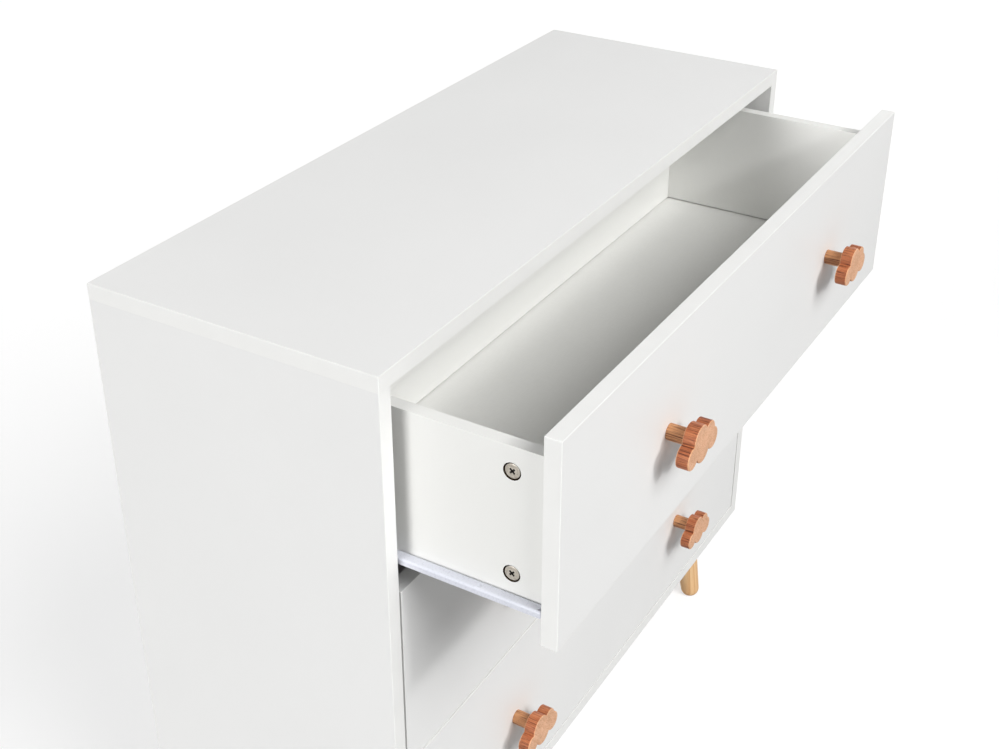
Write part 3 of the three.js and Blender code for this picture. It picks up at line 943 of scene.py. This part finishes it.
def knob_plate(offset):
    """The cloud-shaped plate, facing -Y, its back at y = 0."""
    bm = prism(cloud_outline(), 0, KNOB_THICK)
    bmesh.ops.rotate(bm, cent=(0, 0, 0), matrix=FORWARD, verts=bm.verts)
    rims = [e for e in bm.edges if abs(e.verts[0].co.y - e.verts[1].co.y) < WELD]
    bevel(bm, rims, KNOB_EASE, 4)
    # Front and back take the face wood, the rounded edges the painted-highlight copy and the sides
    # the painted-shade copy.
    for face in bm.faces:
        facing = abs(face.normal.y)
        face.material_index = 0 if facing > 0.98 else 2 if facing > 0.2 else 1
    mesh = to_mesh(bm, "knob_plate")
    store_grain(mesh, offset, GRAIN_LEAN)
    return mesh


def knob_stem(offset):
    """The round stem along Y, eased where it meets the drawer front at y = 0."""
    radius = KNOB_STEM_RADIUS
    length = KNOB_STEM + KNOB_STEM_BURIED
    profile = [(0, 0), (radius - STEM_EASE, 0)]
    profile += arc(radius - STEM_EASE, STEM_EASE, STEM_EASE, -75, 0, 5)
    profile += [(radius, length), (0, length)]
    bm = lathe(profile, STEM_SIDES)
    bmesh.ops.rotate(bm, cent=(0, 0, 0), matrix=FORWARD, verts=bm.verts)
    mesh = to_mesh(bm, "knob_stem")
    store_grain(mesh, offset)
    return mesh


def add_knobs():
    skins = [KNOB_FACE, KNOB_RIM_SHADE, KNOB_EDGE_HIGHLIGHT]
    for row, drawer in enumerate(DRAWERS):
        low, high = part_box(f"drawer_{drawer}_front")
        for side, sign in SIDES.items():
            offset = (0.13 * row + 0.4 * sign, 0.07 * row, 0.11 * sign - 0.3 * row)
            root = Vector((sign * KNOB_SPACING / 2, low.y, (low.z + high.z) / 2))
            add_piece(
                f"knob_plate_{drawer}_{side}", knob_plate(offset), f"drawer_{drawer}",
                skins, (f"knob_{drawer}_{side}",),
                Matrix.Translation(root - Vector((0, KNOB_STEM, 0))),
            )
            add_piece(
                f"knob_stem_{drawer}_{side}", knob_stem(offset), f"drawer_{drawer}",
                [KNOB_STEM_WOOD], (), Matrix.Translation(root),
            )


# ---- legs ----


def leg_mesh(sign_x, sign_y, top, offset):
    """A tapered, turned leg with a rounded foot, splayed and then trimmed level at both ends."""
    length = LEG_HEIGHT + LEG_FOOT_SPARE + LEG_TOP_SPARE
    round_width = LEG_FOOT_RADIUS - LEG_FLAT_RADIUS
    profile = [(0, 0)]
    for i in range(LEG_ROUND_STEPS + 1):
        angle = math.pi / 2 * i / LEG_ROUND_STEPS
        across = LEG_FLAT_RADIUS + round_width * math.sin(angle)
        profile.append((across, LEG_FOOT_ROUND * (1 - math.cos(angle))))
    profile += [(LEG_TOP_RADIUS, length), (0, length)]
    bm = lathe(profile, LEG_SIDES)
    start = -LEG_HEIGHT - LEG_FOOT_SPARE
    bmesh.ops.translate(bm, vec=(0, 0, start), verts=bm.verts)
    layer = bm.verts.layers.float_vector.new("grain")
    for vertex in bm.verts:
        vertex[layer] = vertex.co + Vector(offset)
    tilt = Matrix.Rotation(sign_y * LEG_SPLAY, 3, "X")
    tilt = tilt @ Matrix.Rotation(-sign_x * LEG_SPLAY, 3, "Y")
    bmesh.ops.rotate(bm, cent=(0, 0, 0), matrix=tilt, verts=bm.verts)
    for height, up in ((-LEG_HEIGHT, -1), (top, 1)):
        geometry = bm.verts[:] + bm.edges[:] + bm.faces[:]
        cut = bmesh.ops.bisect_plane(
            bm, geom=geometry, plane_co=(0, 0, height), plane_no=(0, 0, up), clear_outer=True
        )
        rim = [e for e in cut["geom_cut"] if isinstance(e, bmesh.types.BMEdge)]
        bmesh.ops.contextual_create(bm, geom=rim)
    ease(bm, LEG_EASE, 2)
    bmesh.ops.recalc_face_normals(bm, faces=bm.faces)
    return to_mesh(bm, "leg")


def add_legs():
    """Four legs, and the steel plates that hold them."""
    for end, sign_y in ENDS.items():
        for side, sign_x in SIDES.items():
            low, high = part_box(f"leg_plate_{end}_{side}")
            root = Vector(((low.x + high.x) / 2, (low.y + high.y) / 2, LEG_HEIGHT))
            top = low.z - LEG_HEIGHT - LEG_TOP_GAP
            offset = (0.05 * sign_x + 0.012 * sign_y, 0.02 * sign_y, 0.4 * sign_x + 0.2 * sign_y)
            add_piece(
                f"leg_turned_{end}_{side}", leg_mesh(sign_x, sign_y, top, offset), "carcase",
                [PINE], (f"leg_{end}_{side}",), Matrix.Translation(root),
            )
            plate = f"leg_plate_{end}_{side}"
            bm = bare_copy(plate)
            ease(bm, PLATE_EASE, 2)
            add_for_node(plate, "_pressed", bm, "carcase", [ZINC])


# ---- runners ----
# Each is drawn for the right side. u is measured inward from the side panel, so x = inner - u.


def rounded_path(corners, radius, steps=5):
    """A line folded at right angles, with each fold turned into an arc."""
    points = [corners[0]]
    for before, corner, after in zip(corners, corners[1:], corners[2:]):
        arrive = (corner - before).normalized()
        leave = (after - corner).normalized()
        centre = corner - arrive * radius + leave * radius
        for i in range(steps + 1):
            angle = math.pi / 2 * i / steps
            onward = arrive * radius * math.sin(angle)
            points.append(centre - leave * radius * math.cos(angle) + onward)
    points.append(corners[-1])
    return points


def folded_sheet(corners, start, end):
    """Sheet steel of even thickness, folded along a path in x and z and drawn out along Y."""
    path = rounded_path([Vector(c) for c in corners], BEND_RADIUS)
    last = len(path) - 1
    offsets = []
    for i, point in enumerate(path):
        along = (path[min(i + 1, last)] - path[max(i - 1, 0)]).normalized()
        across = Vector((-along.y, along.x)) * STEEL / 2
        offsets.append((point + across, point - across))
    bm = bmesh.new()
    rows = [
        [[bm.verts.new((p.x, y, p.y)) for y in (start, end)] for p in pair]
        for pair in offsets
    ]
    for (a, b), (c, d) in zip(rows, rows[1:]):
        bm.faces.new((a[0], c[0], c[1], a[1]))
        bm.faces.new((b[0], b[1], d[1], d[0]))
        bm.faces.new((a[0], b[0], d[0], c[0]))
        bm.faces.new((a[1], c[1], d[1], b[1]))
    for one, other in (rows[0], rows[-1]):
        bm.faces.new((one[0], one[1], other[1], other[0]))
    bmesh.ops.recalc_face_normals(bm, faces=bm.faces)
    return bm


def pin_along_x(parts, x, y, z, sign):
    """Coaxial rounds of (radius, from, to), measured along X from x in the direction of sign."""
    profile = [(0, parts[0][1])]
    for radius, start, end in parts:
        profile += [(radius, start), (radius, end)]
    profile.append((0, parts[-1][2]))
    bm = lathe(profile, PIN_SIDES)
    bmesh.ops.transform(bm, matrix=turned_to((sign, 0, 0), (x, y, z)), verts=bm.verts)
    return bm


class RunnerPlan:
    """Where one right-hand runner's parts lie, read from the CAD boxes."""

    def __init__(self, drawer):
        self.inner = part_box("side_panel_right")[0].x
        drawer_low, drawer_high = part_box(f"drawer_runner_{drawer}_right")
        self.top = drawer_high.z
        self.drawer_span = (drawer_low.y, drawer_high.y)
        cabinet_low, cabinet_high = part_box(f"cabinet_runner_{drawer}_right")
        self.cabinet_span = (cabinet_low.y, cabinet_high.y)
        self.channel_bottom = cabinet_low.z
        self.ledge_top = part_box(f"drawer_{drawer}_side_right")[0].z - RUNNER_GAP
        self.side_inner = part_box(f"drawer_{drawer}_side_right")[0].x
        self.rear = self.middle(f"rear_roller_{drawer}_right")
        self.front = self.middle(f"front_roller_{drawer}_right")

    @staticmethod
    def middle(node):
        low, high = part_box(node)
        return (low + high) / 2

    def x(self, u):
        return self.inner - u


def drawer_member(plan):
    """Web, ledge under the drawer side, outward flange with a lip, and the rear roller's tab."""
    half = STEEL / 2
    web = plan.x(RUNNER_CLEARANCE - RUNNER_GAP - half)
    lip = plan.x(FLANGE_EDGE + half)
    corners = [
        (plan.side_inner + LEDGE_SHORT, plan.ledge_top - half),
        (web, plan.ledge_top - half),
        (web, plan.top - half),
        (lip, plan.top - half),
        (lip, plan.top - LIP_DROP),
    ]
    start, end = plan.drawer_span
    bm = folded_sheet(corners, start, end)
    tab = arc(0, 0, TAB_ROUND, 200, 340, 10)
    tab_top = plan.ledge_top - TAB_GAP - plan.rear.z
    outline = [*tab, (TAB_HALF_WIDTH, tab_top), (-TAB_HALF_WIDTH, tab_top)]
    plate = prism(outline, -half, half)
    stand = Matrix(((0, 0, 1, 0), (1, 0, 0, 0), (0, 1, 0, 0), (0, 0, 0, 1)))
    stand = Matrix.Translation((web, plan.rear.y, plan.rear.z)) @ stand
    bmesh.ops.transform(plate, matrix=stand, verts=plate.verts)
    bm = combine(bm, plate, "UNION")
    dent = bmesh.new()
    bmesh.ops.create_uvsphere(dent, u_segments=32, v_segments=24, radius=DENT_RADIUS)
    centre = (plan.x(DENT_IN), start + DENT_BACK, plan.top + DENT_RADIUS - DENT_DEPTH)
    bmesh.ops.translate(dent, vec=centre, verts=dent.verts)
    bm = combine(bm, dent, "DIFFERENCE")
    past_lip = plan.x(FLANGE_EDGE + STEEL + NOTCH_PAST_LIP)
    corner = [
        (web, start - NOTCH_SPARE),
        (web, start + NOTCH_AT_WEB),
        (past_lip, start + NOTCH_AT_LIP),
        (past_lip, start - NOTCH_SPARE),
    ]
    notch = prism(corner, plan.top - STEEL - NOTCH_SPARE, plan.top + NOTCH_SPARE)
    bm = combine(bm, notch, "DIFFERENCE")
    ease(bm, STEEL_EASE, 2)
    return bm


def cabinet_member(plan):
    """A channel on the side panel, its flanges cut back ahead of the front roller."""
    half = STEEL / 2
    web = plan.x(RUNNER_GAP + half)
    reach = plan.x(CHANNEL_REACH)
    channel_top = plan.top - LIP_DROP - CHANNEL_DROP
    corners = [
        (reach, channel_top - half),
        (web, channel_top - half),
        (web, plan.channel_bottom + half),
        (reach, plan.channel_bottom + half),
    ]
    start, end = plan.cabinet_span
    bm = folded_sheet(corners, start, end)
    cut_back = plan.front.y + ROLLER_RADIUS + ROLLER_ROOM
    spare = CHANNEL_CUT_SPARE
    cutter = block(
        (reach - spare, start - spare, plan.channel_bottom - spare),
        (web - half, cut_back, channel_top + spare),
    )
    bm = combine(bm, cutter, "DIFFERENCE")
    ease(bm, STEEL_EASE, 2)
    return bm


def roller_mesh():
    """A nylon wheel along Z, with a crowned tread, a hub and a moulded recess on both faces."""
    half = ROLLER_WIDTH / 2
    rim = ROLLER_RADIUS
    side = [
        (ROLLER_BORE, half),
        (0.0036, half),
        (0.0039, half - 0.0003),
        (0.0041, half - 0.0009),
        (rim - 0.0022, half - 0.0009),
        (rim - 0.0019, half - 0.0002),
        (rim - 0.0016, half),
        (rim - 0.0006, half),
        (rim - 0.0001, half - 0.0005),
        (rim, half - 0.0012),
    ]
    profile = side + [(radius, -height) for radius, height in reversed(side)]
    return to_mesh(lathe(profile, ROLLER_SIDES), "roller")


def add_runners():
    """A pair of runners for each drawer: members, rollers, pins and screws."""
    wheel = roller_mesh()
    web_screw = screw_mesh(**RUNNER_SCREW, name="runner_screw")
    for drawer in DRAWERS:
        plan = RunnerPlan(drawer)
        for side, sign in SIDES.items():
            keep = (lambda bm: bm) if sign > 0 else mirrored
            label = f"{drawer}_{side}"
            body = f"drawer_{drawer}"
            mesh = to_mesh(keep(drawer_member(plan)), "drawer_member")
            node = f"drawer_runner_{label}"
            add_piece(f"drawer_member_{label}", mesh, body, [POWDER_COAT], (node,))
            mesh = to_mesh(keep(cabinet_member(plan)), "cabinet_member")
            node = f"cabinet_runner_{label}"
            add_piece(
                f"cabinet_member_{label}", mesh, "carcase", [POWDER_COAT], (node,)
            )
            pin = pin_along_x(FRONT_PIN, plan.inner, plan.front.y, plan.front.z, -1)
            mesh = to_mesh(keep(pin), "front_pin")
            add_piece(f"front_pin_{label}", mesh, "carcase", [ZINC])
            web = plan.x(RUNNER_CLEARANCE - RUNNER_GAP)
            pin = pin_along_x(REAR_PIN, web, plan.rear.y, plan.rear.z, 1)
            mesh = to_mesh(keep(pin), "rear_pin")
            add_piece(f"rear_pin_{label}", mesh, body, [ZINC])
            for end, middle in (("front", plan.front), ("rear", plan.rear)):
                at = (sign * middle.x, middle.y, middle.z)
                node = f"{end}_roller_{label}"
                turn = turned_to((sign, 0, 0), at)
                add_piece(f"wheel_{end}_{label}", wheel, node, [NYLON], (node,), turn)
            add_runner_screws(plan, drawer, side, sign, web_screw)


def add_runner_screws(plan, drawer, side, sign, mesh):
    """Three screws through each channel's web and three up through each drawer member's ledge."""
    web = sign * plan.x(RUNNER_GAP + STEEL)
    start, end = plan.cabinet_span
    for i, share in enumerate(CHANNEL_SCREWS):
        at = (web, start + (end - start) * share, plan.rear.z)
        add_screw(f"channel_screw_{drawer}_{side}_{i}", mesh, "carcase", (-sign, 0, 0), at)
    start, end = plan.drawer_span
    for i, share in enumerate(LEDGE_SCREWS):
        y = start + (end - start) * share
        at = (sign * (plan.side_inner + LEDGE_SCREW_IN), y, plan.ledge_top - STEEL)
        name = f"ledge_screw_{drawer}_{side}_{i}"
        add_screw(name, mesh, f"drawer_{drawer}", (0, 0, -1), at)


# ---- studio ----

CAMERA_AT = (-1.139, -0.605, 1.322)
CAMERA_YAW = math.radians(59.12)
CAMERA_PITCH = math.radians(-29.02)
CAMERA_LENS = 52.1
CAMERA_SHIFT_UP = -0.05
SENSOR_WIDTH = 36
STUDIO_HALF = 30.0

# SIDE is broad and from the left, OVER broad and high in front, KEY small and near. RIGHT and
# BACK are low and soft, for the views from there.
SKY = 0.25
SIDE = {"azimuth": -99.5, "elevation": 11, "strength": 0.61, "softness": 20}
OVER = {"azimuth": -12, "elevation": 43, "strength": 0.71, "softness": 32}
RIGHT = {"azimuth": 90, "elevation": 6, "strength": 0.32, "softness": 30}
BACK = {"azimuth": 160, "elevation": 6, "strength": 0.32, "softness": 40}
KEY = {"at": (-0.46, -1.9, 1.93), "size": 0.24, "watts": 12.5}
AIM = (0, 0, 0.5)


def toward(azimuth, elevation):
    """The direction of a source, azimuth 0 being ahead of the fronts and 90 to their right."""
    a, e = math.radians(azimuth), math.radians(elevation)
    return Vector((math.sin(a) * math.cos(e), -math.cos(a) * math.cos(e), math.sin(e)))


def add_sun(name, azimuth, elevation, strength, softness):
    """A far lamp. Its softness is the angle it fills, in degrees."""
    data = bpy.data.lights.new(name, "SUN")
    data.energy = strength * math.pi
    data.angle = math.radians(softness)
    lamp = add_object(name, data)
    lamp.rotation_mode = "QUATERNION"
    lamp.rotation_quaternion = toward(azimuth, elevation).to_track_quat("Z", "Y")


def add_panel(name, at, size, watts):
    """A round panel close by, aimed at the chest, which fades across it."""
    data = bpy.data.lights.new(name, "AREA")
    data.shape = "DISK"
    data.size = size
    data.energy = watts
    lamp = add_object(name, data)
    lamp.location = at
    lamp.rotation_mode = "QUATERNION"
    lamp.rotation_quaternion = (Vector(AIM) - Vector(at)).to_track_quat("-Z", "Y")


def add_world():
    """An even pale sky that looks plain white behind the object."""
    world = bpy.data.worlds.new("studio")
    bpy.context.scene.world = world
    world.use_nodes = True
    tree = world.node_tree
    background = tree.nodes["Background"]
    background.inputs["Color"].default_value = (1, 1, 1, 1)
    path = tree.nodes.new("ShaderNodeLightPath")
    level = tree.nodes.new("ShaderNodeMapRange")
    level.inputs["To Min"].default_value = SKY
    level.inputs["To Max"].default_value = 1.0
    tree.links.new(path.outputs["Is Camera Ray"], level.inputs["Value"])
    tree.links.new(level.outputs["Result"], background.inputs["Strength"])


def add_floor():
    bm = bmesh.new()
    bmesh.ops.create_grid(bm, x_segments=4, y_segments=4, size=STUDIO_HALF)
    mesh = to_mesh(bm, "studio_floor")
    mesh.materials.append(studio_floor())
    floor = add_object("studio_floor", mesh)


def add_camera():
    data = bpy.data.cameras.new("camera")
    data.sensor_width = SENSOR_WIDTH
    data.lens = CAMERA_LENS
    data.shift_y = CAMERA_SHIFT_UP
    data.clip_end = 100
    camera = add_object("camera", data)
    level = math.cos(CAMERA_PITCH)
    east, north = math.sin(CAMERA_YAW), math.cos(CAMERA_YAW)
    ahead = Vector((east * level, north * level, math.sin(CAMERA_PITCH)))
    camera.location = CAMERA_AT
    camera.rotation_mode = "QUATERNION"
    camera.rotation_quaternion = ahead.to_track_quat("-Z", "Y")
    bpy.context.scene.camera = camera


# ---- assembly ----

add_carcase()
add_drawer_boards()
add_cams()
add_screws()
add_knobs()
add_legs()
add_runners()

add_world()
add_floor()
add_sun("side", **SIDE)
add_sun("over", **OVER)
add_sun("right", **RIGHT)
add_sun("back", **BACK)
add_panel("key", **KEY)
add_camera()
bpy.context.scene.view_settings.view_transform = "Standard"
